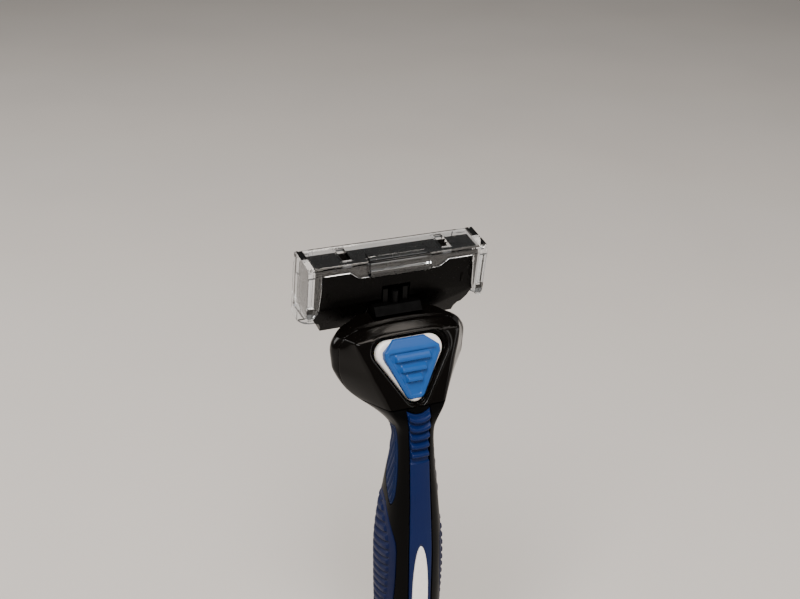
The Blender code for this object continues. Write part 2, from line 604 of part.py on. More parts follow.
def make_cover():
    """Clear push-on cover: roof, cap-side wall with its tab and slots, hooked flange and two ears."""
    frame = CARTRIDGE_FRAME
    wall = COVER_WALL
    shell_side = [(COVER_ROOF, COVER_GUARD), (COVER_ROOF, COVER_CAP - 1.0), (COVER_ROOF - 1.0, COVER_CAP),
                  (COVER_BACK + 0.8, COVER_CAP), (COVER_BACK, COVER_CAP - 0.8), (COVER_BACK, 5.8),
                  (COVER_BACK + 0.6, 5.8), (COVER_BACK + 0.6, COVER_CAP - wall),
                  (COVER_ROOF - wall, COVER_CAP - wall), (COVER_ROOF - wall, COVER_GUARD)]
    cover = prism("clear_cover", shell_side, -HOUSING_HALF - 0.8, HOUSING_HALF + 0.8, "X", CLEAR, frame)
    flange_cut = [(-19.0, 4.0), (-19.0, 8.0), (-12.3, 8.0), (-9.9, 6.2), (9.9, 6.2), (12.3, 8.0), (19.0, 8.0),
                  (19.0, 4.0)]
    cut(cover, prism("flange_edge", flange_cut, -5.0, -1.0, "Y", frame=frame))
    proud = 0.05
    ear = [(COVER_BACK - proud, COVER_CAP - 0.8), (COVER_BACK - proud, -1.8), (-2.5, -3.2), (-0.5, -4.0),
           (2.5, -4.2), (5.0, -4.6), (COVER_ROOF + proud, -3.8), (COVER_ROOF + proud, COVER_CAP - 1.0),
           (COVER_ROOF - 1.0, COVER_CAP + proud), (COVER_BACK + 0.8, COVER_CAP + proud)]
    flap = [(19.0, 7.0), (19.6, -0.7), (20.3, -2.4), (21.3, -3.3), (22.0, -3.0), (COVER_HALF + 0.05, -1.8),
            (COVER_HALF + 0.05, 7.0)]
    arc = [radians(angle) for angle in range(0, 91, 15)]
    corner = [(COVER_HALF + 2, -6.0)] + [(17.3 + 5 * cos(a), -6.0 - 5 * sin(a)) for a in arc]
    corner += [(17.3, COVER_GUARD - 2), (COVER_HALF + 2, COVER_GUARD - 2)]
    middle = (COVER_HALF - 2.0, COVER_CAP - 2.0)
    top_corner = [(COVER_HALF + 2, middle[1])]
    top_corner += [(middle[0] + 2 * cos(a), middle[1] + 2 * sin(a)) for a in arc]
    top_corner += [(middle[0], COVER_CAP + 2), (COVER_HALF + 2, COVER_CAP + 2)]
    for side in (-1, 1):
        low, high = sorted((side * (HOUSING_HALF + GAP), side * COVER_HALF))
        flap_outline = [(side * x, v) for x, v in flap]
        corner_outline = [(side * x, v) for x, v in corner]
        top_outline = [(side * x, v) for x, v in top_corner]
        add(cover, prism(f"ear_{side}", ear, low, high, "X", frame=frame),
            prism(f"ear_flap_{side}", flap_outline, COVER_BACK - 0.1, COVER_BACK + 0.65, "Y", frame=frame))
        cut(cover, box(f"ear_window_{side}", (low - 1, 3.8, -3.0), (high + 1, 5.0, 5.0), frame=frame))
        low, high = sorted((side * 12.4 - 1.1, side * 12.4 + 1.1))
        cut(cover, box(f"cap_slot_{side}", (low, -1.2, COVER_CAP - 2), (high, 4.4, COVER_CAP + 2), frame=frame))
        low, high = sorted((side * 17.8, side * (COVER_HALF - 0.2)))
        add(cover, box(f"end_rim_{side}", (low, COVER_ROOF - 0.4, COVER_GUARD + 0.1),
                       (high, COVER_ROOF + 0.8, COVER_CAP - 1.2), frame=frame))
        low, high = sorted((side * 18.8, side * 21.3))
        cut(cover, box(f"end_well_{side}", (low, COVER_ROOF + 0.2, COVER_GUARD + 1.2),
                       (high, COVER_ROOF + 3.0, COVER_CAP - 2.2), frame=frame))
        cut(cover, prism(f"roof_corner_{side}", corner_outline, 4.0, 9.0, "Y", frame=frame),
            prism(f"top_corner_{side}", top_outline, -5.0, 9.0, "Y", frame=frame))
    tab = box("cover_tab", (-7.5, COVER_BACK - 0.4, 6.4), (7.5, COVER_BACK + 0.3, COVER_CAP - 0.2), frame=frame)
    tab_top = box("cover_tab_top", (-7.5, COVER_BACK + 0.4, COVER_CAP - 0.4), (7.5, -0.6, COVER_CAP + 0.5),
                  frame=frame)
    return add(cover, tab, tab_top)


make_handle()
make_front_strip()
make_badge()
make_side_grips()
make_rear_grip()
make_head()
make_button()
make_head_mechanism()
make_connector()
make_cartridge()
make_cover()
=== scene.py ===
"""Visual model of a cartridge razor with a clear travel cover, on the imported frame."""

from math import cos, pi, radians, sin, tan

import bmesh
import bpy
import numpy as np
from mathutils import Matrix, Vector


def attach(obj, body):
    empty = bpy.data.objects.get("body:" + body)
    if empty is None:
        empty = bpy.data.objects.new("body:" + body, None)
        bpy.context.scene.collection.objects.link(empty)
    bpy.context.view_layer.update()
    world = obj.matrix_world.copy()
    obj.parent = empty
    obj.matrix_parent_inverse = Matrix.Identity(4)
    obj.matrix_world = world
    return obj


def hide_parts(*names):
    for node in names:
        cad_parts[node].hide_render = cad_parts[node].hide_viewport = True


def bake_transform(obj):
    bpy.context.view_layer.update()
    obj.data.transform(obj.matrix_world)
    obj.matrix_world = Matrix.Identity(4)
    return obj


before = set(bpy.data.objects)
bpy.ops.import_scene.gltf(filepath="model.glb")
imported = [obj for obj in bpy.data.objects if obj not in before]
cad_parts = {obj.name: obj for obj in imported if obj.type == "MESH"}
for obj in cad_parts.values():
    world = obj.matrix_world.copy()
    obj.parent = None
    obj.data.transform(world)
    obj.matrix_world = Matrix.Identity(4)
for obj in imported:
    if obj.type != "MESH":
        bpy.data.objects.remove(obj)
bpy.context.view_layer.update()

MM = 0.001

# ---------------------------------------------------------------- dimensions, in millimetres
# Rows of height, half width, front Y, back Y.
HANDLE_SECTIONS = [
    (-103.0, 2.6, -2.4, 3.2), (-101.0, 4.6, -4.2, 5.2), (-96.0, 5.9, -5.8, 6.6),
    (-86.0, 6.6, -7.2, 7.2), (-70.0, 7.1, -8.0, 7.2), (-52.0, 7.5, -8.3, 7.5),
    (-42.0, 7.7, -8.0, 8.0), (-31.0, 7.6, -7.5, 8.5), (-18.5, 6.5, -6.3, 7.4),
    (-11.0, 5.6, -5.4, 6.3), (-5.0, 5.0, -4.7, 5.0), (0.0, 4.9, -4.1, 4.6),
    (5.5, 6.0, -3.5, 6.0), (9.0, 7.0, -2.5, 8.0),
]
# Rows of height, half width of the front, wing's half width and Y, half width and Y of the back.
HEAD_SECTIONS = [
    (0.0, 3.0, 5.0, 1.0, 3.0, 4.6), (5.5, 6.2, 9.6, 4.6, 5.0, 8.8),
    (9.0, 7.6, 13.8, 8.2, 8.0, 12.0), (13.6, 9.5, 16.6, 9.5, 9.5, 15.0),
    (16.0, 10.4, 17.0, 9.8, 10.0, 15.8), (19.8, 12.0, 17.1, 10.0, 10.0, 16.2),
    (22.5, 12.9, 15.4, 10.0, 10.0, 15.6), (24.2, 12.6, 13.5, 10.2, 9.5, 14.9),
    (25.5, 11.4, 12.0, 10.5, 9.0, 14.2),
]
SQUARENESS = 2.6
HALF_ROUND, ROUND = 16, 32
HEAD_TOP = 25.5
BAND_START, BAND_END_Y = 23.0, 9.3
NECK_SEAM = 7.3
GAP = 0.3
HEAD_SPLIT_Y = 8.0
BUTTON_LEAN = 23.0
BUTTON_ORIGIN = (0.0, -1.0, 8.4)
PIVOT = (0.0, 14.8, 30.2)
CARTRIDGE_TILT = 8.0
# Rows of height and half width.
STRIP_HALF = [
    (-82.0, 0.3), (-81.0, 0.9), (-79.0, 1.3), (-76.0, 1.6), (-58.0, 2.9), (-30.0, 3.0),
    (-16.0, 2.65), (-4.0, 2.5), (6.9, 2.9), (7.6, 2.9),
]
STRIP_BOTTOM, STRIP_TOP, STRIP_ARCH = -79.2, 5.9, 1.1
# Height and half length of each rib on the neck.
NECK_RIBS = [(4.7, 2.9), (2.5, 2.8), (0.3, 2.6), (-1.9, 2.45), (-4.1, 2.35)]

BADGE_MIDDLE, BADGE_HALF_LENGTH, BADGE_HALF_WIDTH = -43.5, 14.6, 2.1
INLAY_GAP, INLAY_DEPTH = 0.12, 0.75


def placed(origin, degrees):
    return Matrix.Translation(Vector(origin)) @ Matrix.Rotation(radians(degrees), 4, "X")


BUTTON = placed(BUTTON_ORIGIN, -BUTTON_LEAN)
CARTRIDGE = placed(PIVOT, CARTRIDGE_TILT)
WORLD = Matrix.Identity(4)


# ---------------------------------------------------------------- the body's skin
def table(rows, at):
    """Cubic reading of a table of (height, values...) at many heights."""
    rows = np.array(sorted(rows))
    keys, values = rows[:, 0], rows[:, 1:]
    slopes = np.empty_like(values)
    slopes[1:-1] = (values[2:] - values[:-2]) / (keys[2:] - keys[:-2])[:, None]
    slopes[0] = (values[1] - values[0]) / (keys[1] - keys[0])
    slopes[-1] = (values[-1] - values[-2]) / (keys[-1] - keys[-2])
    at = np.clip(at, keys[0], keys[-1])
    low = np.clip(np.searchsorted(keys, at, side="right") - 1, 0, len(keys) - 2)
    span = keys[low + 1] - keys[low]
    t = ((at - keys[low]) / span)[..., None]
    span = span[..., None]
    return ((2 * t**3 - 3 * t**2 + 1) * values[low]
            + (t**3 - 2 * t**2 + t) * span * slopes[low]
            + (3 * t**2 - 2 * t**3) * values[low + 1]
            + (t**3 - t**2) * span * slopes[low + 1])


def smoothstep(low, high, x):
    t = np.clip((x - low) / (high - low), 0.0, 1.0)
    return t * t * (3 - 2 * t)


def arched(points):
    """The head's top edge, bent down a little towards its corners."""
    bent = points.copy()
    across = np.minimum(np.abs(points[..., 0]), 12.0) / 12.0
    bent[..., 2] -= 1.2 * across**2 * smoothstep(22.0, HEAD_TOP, points[..., 2])
    return bent


def head_front(z):
    """Y of the head's front: it leans back with the button, and more steeply in the top band."""
    lean = radians(BUTTON_LEAN)
    rise = np.minimum(z, BAND_START) - BUTTON_ORIGIN[2]
    leaning = BUTTON_ORIGIN[1] - 1.0 / cos(lean) + rise * tan(lean)
    share = np.clip((z - BAND_START) / (HEAD_TOP - BAND_START), 0.0, 1.0)
    return leaning + (BAND_END_Y - leaning) * share


def raw_skin(s, z):
    """Points of the skin. s runs from 0 at the front's middle to 16 at the back's, or to -16."""
    side = np.where((s < 0) & (s >= -HALF_ROUND) | (s > HALF_ROUND), -1.0, 1.0)
    a = np.abs(s)
    a = np.where(a > HALF_ROUND, ROUND - a, a)
    half, front, back = np.moveaxis(table(HANDLE_SECTIONS, z), -1, 0)
    angle = 2 * pi * a / ROUND
    power = 2 / SQUARENESS
    hx = half * np.abs(np.sin(angle)) ** power
    c = np.cos(angle)
    hy = (front + back) / 2 - (back - front) / 2 * np.sign(c) * np.abs(c) ** power
    fh, wing, wy, bh, by = np.moveaxis(table(HEAD_SECTIONS, z), -1, 0)
    fy = head_front(z)
    knots_x, knots_y = [], []
    for step in range(5):
        knots_x.append(fh * step / 5)
        knots_y.append(fy)
    for step in range(4):
        knots_x.append(fh + (wing - fh) * step / 4)
        knots_y.append(fy + (wy - fy) * step / 4)
    for step in range(5):
        knots_x.append(bh + (wing - bh) * max(cos(pi / 8 * step), 0.0) ** 1.3)
        knots_y.append(wy + (by - wy) * sin(pi / 8 * step))
    for step in range(1, 4):
        knots_x.append(bh * (1 - step / 3))
        knots_y.append(by)
    kx, ky = np.stack(knots_x, -1), np.stack(knots_y, -1)
    low = np.clip(np.floor(a).astype(int), 0, HALF_ROUND - 1)
    t = a - low
    gx, gy = (np.take_along_axis(knots, low[..., None], -1)[..., 0] * (1 - t)
              + np.take_along_axis(knots, low[..., None] + 1, -1)[..., 0] * t for knots in (kx, ky))
    share = smoothstep(0.0, 8.0, z)
    x = (hx + (gx - hx) * share) * side
    y = hy + (gy - hy) * share
    return np.stack([x, y, z], -1)


def skin(s, z):
    """The skin with its creases rounded by averaging over a small window."""
    s, z = np.broadcast_arrays(np.asarray(s, float), np.asarray(z, float))
    total = 0.0
    for ds in (-0.42, -0.21, 0.0, 0.21, 0.42):
        for dz in (-0.3, 0.0, 0.3):
            point = raw_skin(s + ds, z + dz)
            point[..., 2] = z
            total = total + point
    return total / 15.0


def skin_normal(s, z):
    e = 0.05
    along = skin(s + e, z) - skin(s - e, z)
    up = skin(s, z + e) - skin(s, z - e)
    n = np.cross(along, up)
    return n / np.linalg.norm(n, axis=-1, keepdims=True)


def s_at_x(z, x):
    """Where the front of each row reaches a given X."""
    steps = np.linspace(0, 9, 181)
    rows = [skin(steps, np.full(steps.size, height))[:, 0] for height in z]
    return np.array([np.interp(wanted, row, steps) for wanted, row in zip(x, rows)])


def s_at_y(z, y):
    """Where the flank of each row reaches a given Y."""
    steps = np.linspace(0, HALF_ROUND, 321)
    rows = [skin(steps, np.full(steps.size, height))[:, 1] for height in z]
    return np.array([np.interp(wanted, row, steps) for wanted, row in zip(y, rows)])


# ---------------------------------------------------------------- mesh helpers
def new_object(name, mesh):
    obj = bpy.data.objects.new(name, mesh)
    bpy.context.scene.collection.objects.link(obj)
    return obj


def finish_mesh(name, vertices, faces, sharp=40.0, matrix=WORLD):
    mesh = bpy.data.meshes.new(name)
    mesh.from_pydata([tuple(v) for v in vertices], [], faces)
    mesh.transform(Matrix.Scale(MM, 4) @ matrix)
    tidy(mesh, sharp)
    return new_object(name, mesh)


def tidy(mesh, sharp):
    build = bmesh.new()
    build.from_mesh(mesh)
    bmesh.ops.remove_doubles(build, verts=build.verts, dist=1e-7)
    bmesh.ops.dissolve_degenerate(build, edges=build.edges, dist=1e-7)
    bmesh.ops.recalc_face_normals(build, faces=build.faces)
    build.to_mesh(mesh)
    build.free()
    mesh.shade_smooth()
    mesh.set_sharp_from_angle(angle=radians(sharp))


def sheet_solid(name, outer, inner, ring=False, sharp=40.0, matrix=WORLD):
    """A closed body between two grids of points; ring joins each row's ends."""
    rows, columns = outer.shape[:2]
    vertices = np.concatenate([outer.reshape(-1, 3), inner.reshape(-1, 3)])
    shift = rows * columns
    faces = []
    last = columns if ring else columns - 1
    for r in range(rows - 1):
        for c in range(last):
            a, b = r * columns + c, r * columns + (c + 1) % columns
            faces.append((a, b, b + columns, a + columns))
            faces.append((shift + a, shift + a + columns, shift + b + columns, shift + b))
    for c in range(last):
        n = (c + 1) % columns
        top = (rows - 1) * columns
        faces.append((c, shift + c, shift + n, n))
        faces.append((top + c, top + n, shift + top + n, shift + top + c))
    if not ring:
        for r in range(rows - 1):
            a, b = r * columns, (r + 1) * columns
            faces.append((a, b, shift + b, shift + a))
            a, b = a + columns - 1, b + columns - 1
            faces.append((a, shift + a, shift + b, b))
    return finish_mesh(name, vertices, faces, sharp, matrix)


def tube_solid(name, rings, sharp=40.0, matrix=WORLD):
    """A closed loft through rings, capped with fans."""
    rows, columns = rings.shape[:2]
    middles = [rings[0].mean(0)[None], rings[-1].mean(0)[None]]
    vertices = np.concatenate([rings.reshape(-1, 3), *middles])
    faces = []
    for r in range(rows - 1):
        here, above = r * columns, (r + 1) * columns
        for c in range(columns):
            n = (c + 1) % columns
            faces.append((here + c, here + n, above + n, above + c))
    start, end = rows * columns, rows * columns + 1
    for c in range(columns):
        n = (c + 1) % columns
        faces.append((start, n, c))
        faces.append((end, (rows - 1) * columns + c, (rows - 1) * columns + n))
    return finish_mesh(name, vertices, faces, sharp, matrix)


def edge_drop(distance, radius):
    """How far a rounded edge falls at a distance in from it."""
    inside = np.clip(1 - distance / radius, 0, 1)
    return radius * (1 - np.sqrt(1 - inside**2))


def arc_length(points):
    """Distance along each row of a grid of points, from its first column."""
    steps = np.linalg.norm(np.diff(points, axis=1), axis=-1)
    return np.concatenate([np.zeros((len(points), 1)), np.cumsum(steps, 1)], 1)


def patch(name, z, s_low, s_high, columns, height, thickness, edge=0.35, arch=0.0):
    """An inlay on the skin, from s_low to s_high, raised by height(points, inset, row)."""
    t = np.linspace(0, 1, columns)[None, :]
    t = 0.5 - 0.5 * np.cos(pi * t) * (1 - 0.5 * np.sin(pi * t) ** 2)
    s = s_low[:, None] * (1 - t) + s_high[:, None] * t
    row = np.broadcast_to(z[:, None], s.shape)
    grid_z = row + arch * (2 * t - 1) ** 2 * smoothstep(-6.0, 5.7, row)
    base = skin(s, grid_z)
    normal = skin_normal(s, grid_z)
    run = arc_length(base)
    inset = np.minimum(run, run[:, -1:] - run)
    ends = np.minimum(row - z.min(), z.max() - row)
    inset = np.minimum(inset, ends)
    rise = height(base, inset, row) - edge_drop(inset, edge)
    return sheet_solid(name, base + normal * rise[..., None], base - normal * thickness)


def distance_to(outline, x, y):
    """Signed distance to a closed polygon, negative inside."""
    shape = x.shape
    points = np.stack([x.ravel(), y.ravel()], -1)
    a = np.array(outline, float)
    b = np.roll(a, -1, 0)
    best = np.full(len(points), 1e9)
    inside = np.zeros(len(points), bool)
    for p, q in zip(a, b):
        edge = q - p
        t = np.clip(((points - p) @ edge) / (edge @ edge), 0, 1)
        best = np.minimum(best, np.linalg.norm(points - p - t[:, None] * edge, axis=1))
        crosses = (p[1] > points[:, 1]) != (q[1] > points[:, 1])
        with np.errstate(divide="ignore", invalid="ignore"):
            where = (q[0] - p[0]) * (points[:, 1] - p[1]) / (q[1] - p[1]) + p[0]
        inside ^= crosses & (points[:, 0] < where)
    return np.where(inside, -best, best).reshape(shape)


def rounded(corners, radii, steps=10):
    points = []
    for index, corner in enumerate(corners):
        here = Vector(corner)
        before = (Vector(corners[index - 1]) - here).normalized()
        after = (Vector(corners[(index + 1) % len(corners)]) - here).normalized()
        half_angle = before.angle(after) / 2
        reach = radii[index] / tan(half_angle)
        centre = here + (before + after).normalized() * (radii[index] / sin(half_angle))
        first = here + before * reach - centre
        sweep = first.angle_signed(here + after * reach - centre)
        for step in range(steps + 1):
            turned = first.copy()
            turned.rotate(Matrix.Rotation(-sweep * step / steps, 2))
            points.append(tuple(centre + turned))
    return points


def resample(outline, count):
    points = np.array(outline + [outline[0]])
    run = np.concatenate([[0], np.cumsum(np.linalg.norm(np.diff(points, axis=0), axis=1))])
    at = np.linspace(0, run[-1], count, endpoint=False)
    return np.stack([np.interp(at, run, points[:, k]) for k in range(2)], -1)


def relief(name, outline, centre, height, back, matrix, count=200, rings=70):
    """A plate over an outline in (x, z), whose front stands height(x, z, inset) towards -Y."""
    rim = resample(outline, count)
    share = np.linspace(0, 1, rings)[:, None, None]
    share = 1 - (1 - share) ** 1.3
    flat = np.array(centre) * (1 - share) + rim[None] * share
    inset = -distance_to(outline, flat[..., 0], flat[..., 1])
    inset[-1] = 0.0
    up = height(flat[..., 0], flat[..., 1], np.maximum(inset, 0))
    outer = np.stack([flat[..., 0], -up, flat[..., 1]], -1)
    inner = np.stack([flat[..., 0], np.full_like(up, back), flat[..., 1]], -1)
    return sheet_solid(name, outer, inner, ring=True, matrix=matrix)


# ---------------------------------------------------------------- solids cut from simple forms
def from_build(name, build, matrix):
    """Turns a bmesh in millimetres into an object in metres."""
    mesh = bpy.data.meshes.new(name)
    build.to_mesh(mesh)
    build.free()
    mesh.transform(Matrix.Scale(MM, 4) @ matrix)
    return new_object(name, mesh)


def block(low, high, matrix=WORLD):
    build = bmesh.new()
    size = [b - a for a, b in zip(low, high)]
    middle = [(a + b) / 2 for a, b in zip(low, high)]
    place = Matrix.Translation(middle) @ Matrix.Diagonal((*size, 1.0))
    bmesh.ops.create_cube(build, size=1.0, matrix=place)
    return from_build("block", build, matrix)


def rod(radius, start, end, matrix=WORLD, sides=32):
    begin, along = Vector(start), Vector(end) - Vector(start)
    turn = along.to_track_quat("Z", "Y").to_matrix().to_4x4()
    build = bmesh.new()
    bmesh.ops.create_cone(
        build, cap_ends=True, segments=sides, radius1=radius, radius2=radius,
        depth=along.length, matrix=Matrix.Translation(begin + along / 2) @ turn)
    return from_build("rod", build, matrix)


def prism(outline, low, high, along, matrix=WORLD):
    """An outline pushed along X (outline in y, z) or Y (outline in x, z)."""
    count = len(outline)
    ends = []
    for depth in (low, high):
        ends.append([(depth, a, b) if along == "X" else (a, depth, b) for a, b in outline])
    faces = [tuple(range(count)), tuple(range(2 * count - 1, count - 1, -1))]
    for i in range(count):
        n = (i + 1) % count
        faces.append((i, i + count, n + count, n))
    mesh = bpy.data.meshes.new("prism")
    mesh.from_pydata(ends[0] + ends[1], [], faces)
    build = bmesh.new()
    build.from_mesh(mesh)
    bmesh.ops.recalc_face_normals(build, faces=build.faces)
    build.to_mesh(mesh)
    build.free()
    mesh.transform(Matrix.Scale(MM, 4) @ matrix)
    return new_object("prism", mesh)


BEAD_SIDES = 12


def bead(path, depth, radius, matrix):
    """A round lip along a path in (x, z), at one depth in Y."""
    points = [Vector((x, 0.0, z)) for x, z in path]
    rings = []
    for index, here in enumerate(points):
        before = (here - points[max(index - 1, 0)]).normalized()
        after = (points[min(index + 1, len(points) - 1)] - here).normalized()
        along = (before + after).normalized()
        mitre = max(along.dot(after if index == 0 else before), 0.5)
        across = Vector((-along.z, 0.0, along.x)) / mitre
        ring = []
        for k in range(BEAD_SIDES):
            angle = 2 * pi * k / BEAD_SIDES
            lift = Vector((0, depth + radius * sin(angle), 0))
            ring.append(tuple(here + across * (radius * cos(angle)) + lift))
        rings.append(ring)
    return tube_solid("bead", np.array(rings), matrix=matrix)


def applied(obj):
    """The object's mesh with its modifiers applied."""
    bpy.context.view_layer.update()
    return bpy.data.meshes.new_from_object(
        obj.evaluated_get(bpy.context.evaluated_depsgraph_get()))


def carve(obj, cuts=(), joins=(), keeps=(), bevel=0.0, segments=2, sharp=35.0, limit=30.0):
    """Applies unions, intersections and cuts in that order, and rounds the edges."""
    for others, operation in ((joins, "UNION"), (keeps, "INTERSECT"), (cuts, "DIFFERENCE")):
        for other in others:
            modifier = obj.modifiers.new("shape", "BOOLEAN")
            modifier.solver = "EXACT"
            modifier.operation = operation
            modifier.object = other
    if bevel:
        modifier = obj.modifiers.new("edges", "BEVEL")
        modifier.width = bevel * MM
        modifier.segments = segments
        modifier.limit_method = "ANGLE"
        modifier.angle_limit = radians(limit)
        modifier.use_clamp_overlap = True
    mesh = applied(obj)
    obj.modifiers.clear()
    obj.data = mesh
    tidy(mesh, sharp)
    for other in (*cuts, *joins, *keeps):
        bpy.data.objects.remove(other, do_unlink=True)
    if bevel:
        flat_normals(obj)
    return obj


def flat_normals(obj):
    """Leaves flat faces flat and lets only the rounded edges between them turn."""
    modifier = obj.modifiers.new("normals", "WEIGHTED_NORMAL")
    modifier.weight = 100
    modifier.keep_sharp = True
    obj.data = applied(obj)
    obj.modifiers.clear()


# ---------------------------------------------------------------- materials
def shader_nodes(name):
    made = bpy.data.materials.new(name)
    made.use_nodes = True
    nodes, links = made.node_tree.nodes, made.node_tree.links
    return made, nodes, links, nodes["Principled BSDF"]


def noise(nodes, links, coordinates, scale, detail=4.0, stretch=None):
    texture = nodes.new("ShaderNodeTexNoise")
    texture.inputs["Scale"].default_value = scale
    texture.inputs["Detail"].default_value = detail
    source = coordinates
    if stretch is not None:
        mapping = nodes.new("ShaderNodeMapping")
        mapping.inputs["Scale"].default_value = stretch
        links.new(coordinates, mapping.inputs["Vector"])
        source = mapping.outputs["Vector"]
    links.new(source, texture.inputs["Vector"])
    return texture.outputs["Fac"]


def remap(nodes, links, value, low, high):
    node = nodes.new("ShaderNodeMapRange")
    node.inputs["From Min"].default_value = 0.3
    node.inputs["From Max"].default_value = 0.7
    node.inputs["To Min"].default_value = low
    node.inputs["To Max"].default_value = high
    links.new(value, node.inputs["Value"])
    return node.outputs["Result"]


def roughen(nodes, links, shader, height, strength, distance):
    bump = nodes.new("ShaderNodeBump")
    bump.inputs["Strength"].default_value = strength
    bump.inputs["Distance"].default_value = distance
    links.new(height, bump.inputs["Height"])
    links.new(bump.outputs["Normal"], shader.inputs["Normal"])


def surface(name, colour, shade, roughness, grain=3000.0, bump=0.10, depth=0.00003,
            metallic=0.0, specular=0.5, patches=60.0, stretch=None, subsurface=0.0):
    """Moulded or ground material: two-tone colour, uneven roughness and a fine surface grain."""
    made, nodes, links, shader = shader_nodes(name)
    place = nodes.new("ShaderNodeTexCoord").outputs["Object"]
    broad = noise(nodes, links, place, patches, 5.0)
    mix = nodes.new("ShaderNodeMix")
    mix.data_type = "RGBA"
    mix.inputs["A"].default_value = (*colour, 1.0)
    mix.inputs["B"].default_value = (*shade, 1.0)
    links.new(remap(nodes, links, broad, 0.0, 1.0), mix.inputs["Factor"])
    links.new(mix.outputs["Result"], shader.inputs["Base Color"])
    smudge = noise(nodes, links, place, patches * 6, 6.0, stretch)
    uneven = remap(nodes, links, smudge, roughness * 0.85, roughness * 1.2)
    links.new(uneven, shader.inputs["Roughness"])
    fine = noise(nodes, links, place, grain, 2.0, stretch)
    roughen(nodes, links, shader, fine, bump, depth)
    shader.inputs["Metallic"].default_value = metallic
    shader.inputs["Specular IOR Level"].default_value = specular
    shader.inputs["Subsurface Weight"].default_value = subsurface
    shader.inputs["Subsurface Radius"].default_value = (0.002, 0.0015, 0.001)
    return made


def clear(name):
    """Clear plastic, faintly tinted, with a slight waviness."""
    made, nodes, links, shader = shader_nodes(name)
    place = nodes.new("ShaderNodeTexCoord").outputs["Object"]
    smudge = noise(nodes, links, place, 220.0, 6.0)
    links.new(remap(nodes, links, smudge, 0.004, 0.022), shader.inputs["Roughness"])
    wave = noise(nodes, links, place, 160.0, 2.0)
    roughen(nodes, links, shader, wave, 0.03, 0.0001)
    tint = nodes.new("ShaderNodeMix")
    tint.data_type = "RGBA"
    tint.inputs["A"].default_value = (0.96, 0.97, 0.98, 1.0)
    tint.inputs["B"].default_value = (0.90, 0.92, 0.94, 1.0)
    links.new(remap(nodes, links, wave, 0.0, 1.0), tint.inputs["Factor"])
    links.new(tint.outputs["Result"], shader.inputs["Base Color"])
    shader.inputs["Transmission Weight"].default_value = 1.0
    shader.inputs["IOR"].default_value = 1.49
    return made


GLOSS_BLACK = surface(
    "gloss_black", (0.0016, 0.0012, 0.0010), (0.0026, 0.0020, 0.0016),
    0.13, 1500.0, 0.05, specular=0.16)
SATIN_BLACK = surface(
    "satin_black", (0.0009, 0.0008, 0.0008), (0.0015, 0.0014, 0.0014),
    0.32, 5000.0, 0.20, specular=0.06)
YOKE_BLACK = surface(
    "yoke_black", (0.0010, 0.0009, 0.0009), (0.0016, 0.0015, 0.0015),
    0.32, 5000.0, 0.15, specular=0.10)
HOUSING_BLACK = surface(
    "housing_black", (0.0011, 0.0009, 0.0008), (0.0018, 0.0015, 0.0013),
    0.28, 3000.0, 0.10, specular=0.07)
INNER_BLACK = surface(
    "inner_black", (0.0015, 0.0015, 0.0016), (0.0026, 0.0024, 0.0024),
    0.42, 4000.0, 0.25, specular=0.10)
STRIP_BLUE = surface(
    "strip_blue", (0.0012, 0.0075, 0.0520), (0.0018, 0.0100, 0.0640),
    0.42, 5000.0, 0.30, specular=0.15)
# Side leaves: the front strip's blue elastomer, darkened as painted shade for the sides, which turn
# away from the light.
LEAF_BLUE_WITH_PAINTED_SHADE = surface(
    "leaf_blue_painted_shade", (0.0012, 0.0068, 0.0360), (0.0020, 0.0090, 0.0450),
    0.45, 5000.0, 0.30, specular=0.15)
# Rear grip: the same blue elastomer with a little more red, darkened further as painted shade for
# the back, which faces away from the light.
REAR_BLUE_WITH_PAINTED_SHADE = surface(
    "rear_blue_painted_shade", (0.0020, 0.0055, 0.0330), (0.0030, 0.0070, 0.0410),
    0.50, 4500.0, 0.40, specular=0.15)
PAD_BLUE = surface(
    "pad_blue", (0.0080, 0.0640, 0.2400), (0.0100, 0.0740, 0.2700),
    0.36, 5000.0, 0.25, specular=0.32)
WHITE = surface(
    "warm_white", (0.93, 0.88, 0.84), (0.89, 0.84, 0.80),
    0.28, 1800.0, 0.06, subsurface=0.15)
STEEL = surface(
    "ground_steel", (0.60, 0.61, 0.62), (0.50, 0.51, 0.53),
    0.26, 2500.0, 0.12, metallic=1.0, stretch=(0.04, 1.0, 1.0))
WIRE = surface(
    "spring_wire", (0.45, 0.46, 0.48), (0.36, 0.37, 0.38),
    0.30, 5000.0, 0.20, metallic=1.0)
GREEN_STRIP = surface(
    "green_strip", (0.42, 0.56, 0.36), (0.36, 0.50, 0.31),
    0.60, 2500.0, 0.50, 0.00006, stretch=(0.15, 1.0, 1.0))
BLUE_STRIP = surface(
    "pale_blue_strip", (0.28, 0.38, 0.66), (0.24, 0.33, 0.60),
    0.55, 2500.0, 0.50, 0.00006, stretch=(0.15, 1.0, 1.0))
CLEAR = clear("clear_styrene")


def dress(piece, material, slot, body, *nodes):
    piece.data.materials.clear()
    piece.data.materials.append(material)
    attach(piece, body)
    if nodes:
        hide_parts(*nodes)
    return piece


# ---------------------------------------------------------------- handle
def strip_half(z):
    rows = np.array(STRIP_HALF)
    return np.interp(z, rows[:, 0], rows[:, 1])


def badge_half(z):
    inside = np.clip(1 - ((z - BADGE_MIDDLE) / BADGE_HALF_LENGTH) ** 2, 0, None)
    return BADGE_HALF_WIDTH * np.sqrt(inside)


def badge_distance(x, z):
    """Rough signed distance to the badge's oval, negative inside."""
    r = np.sqrt((x / BADGE_HALF_WIDTH) ** 2 + ((z - BADGE_MIDDLE) / BADGE_HALF_LENGTH) ** 2)
    return (r - 1) * BADGE_HALF_WIDTH


